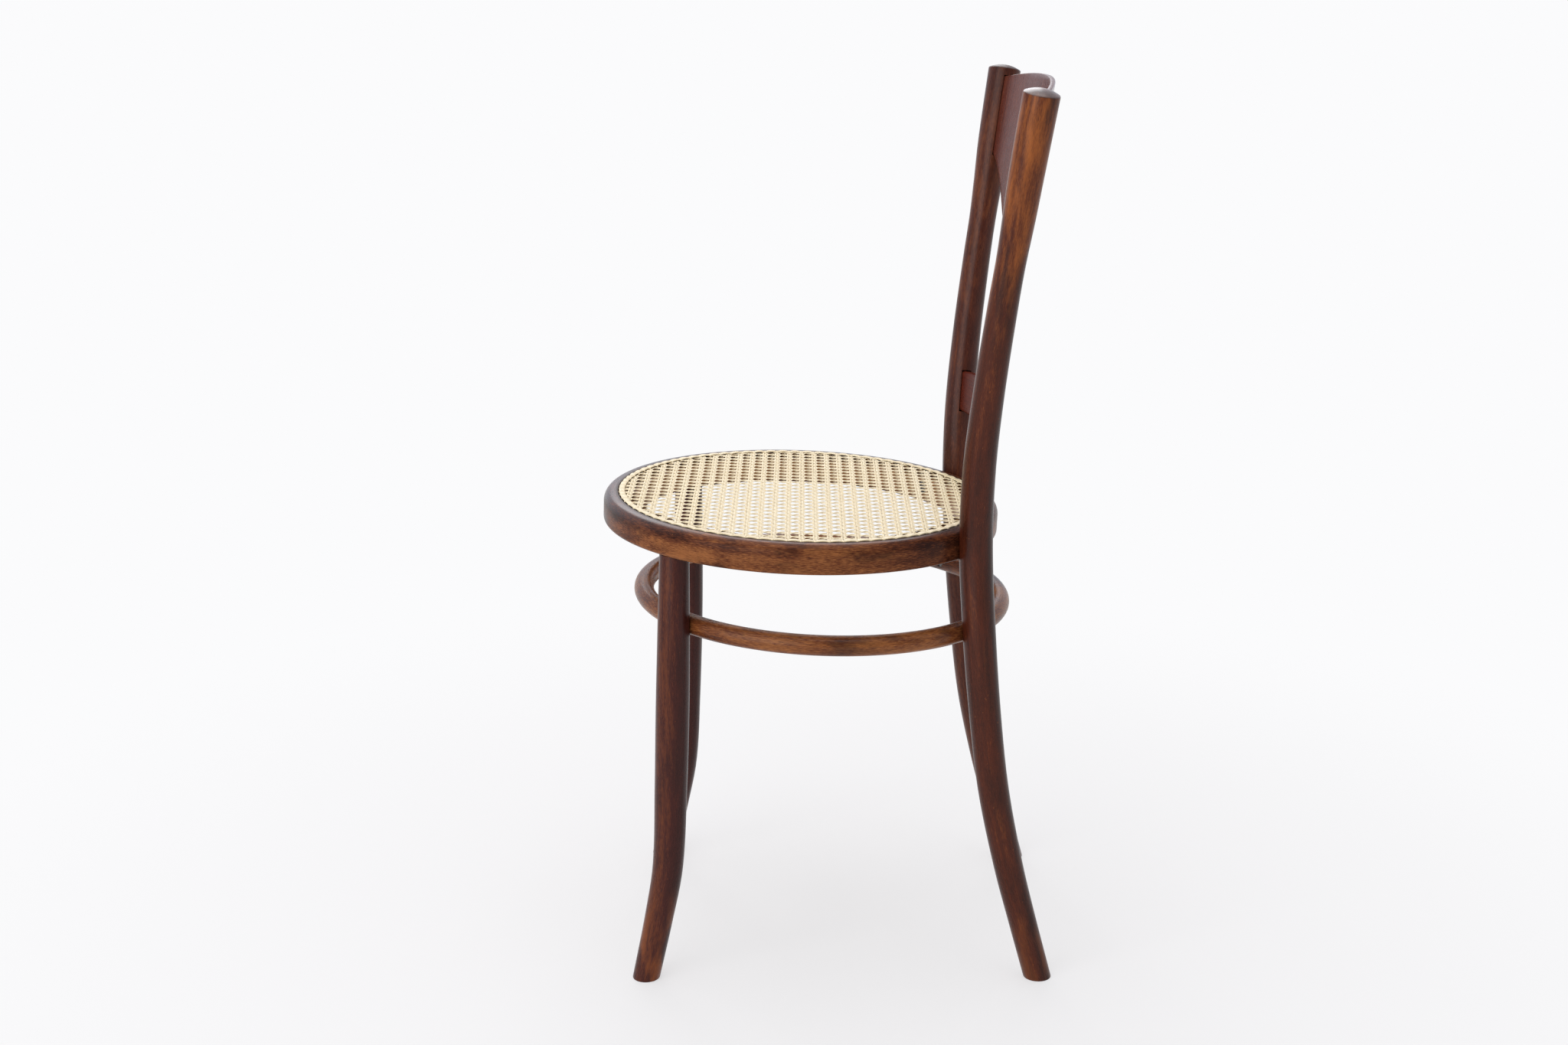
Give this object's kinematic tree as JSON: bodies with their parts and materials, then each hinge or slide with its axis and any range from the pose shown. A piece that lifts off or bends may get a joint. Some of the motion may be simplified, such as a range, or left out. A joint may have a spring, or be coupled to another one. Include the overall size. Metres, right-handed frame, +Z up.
{
  "type": "bentwood chair",
  "caption": "Bentwood chair with a round caned seat on a bent ring, splayed round legs tied by a hoop, and a bowed crest panel and rail between tall posts.",
  "frame": {"origin": "on the floor, at the middle of the chair's outline seen from above", "axes": "+Z up; the chair faces -Y; +X is the sitter's left"},
  "size_m": [0.4012, 0.453, 0.8814],
  "materials": {
    "ring_wood": "amber to dark walnut stain, satin lacquer",
    "post_wood": "dark walnut stain with amber streaks, satin lacquer",
    "leg_wood": "dark red-brown stain, satin lacquer",
    "hoop_wood": "amber to dark walnut stain, satin lacquer",
    "crest_ply": "red-brown stained plywood, satin lacquer",
    "rail_ply": "red-brown stained plywood, satin lacquer",
    "cane": "natural woven rattan cane, slight sheen",
    "screw_steel": "dull zinc-plated steel"
  },
  "bodies": {
    "root": {"seat_ring": "ring_wood", "cane_net": "cane", "cane_binder": "cane", "rear_post_left": "post_wood", "rear_post_right": "post_wood", "front_leg_left": "leg_wood", "front_leg_right": "leg_wood", "leg_hoop": "hoop_wood", "crest_panel": "crest_ply", "back_rail": "rail_ply", "post_screw_left": "screw_steel", "post_screw_right": "screw_steel", "post_washer_left": "screw_steel", "post_washer_right": "screw_steel", "hoop_screw_front_left": "screw_steel", "hoop_screw_front_right": "screw_steel", "hoop_screw_rear_left": "screw_steel", "hoop_screw_rear_right": "screw_steel"}
  },
  "joints": []
}
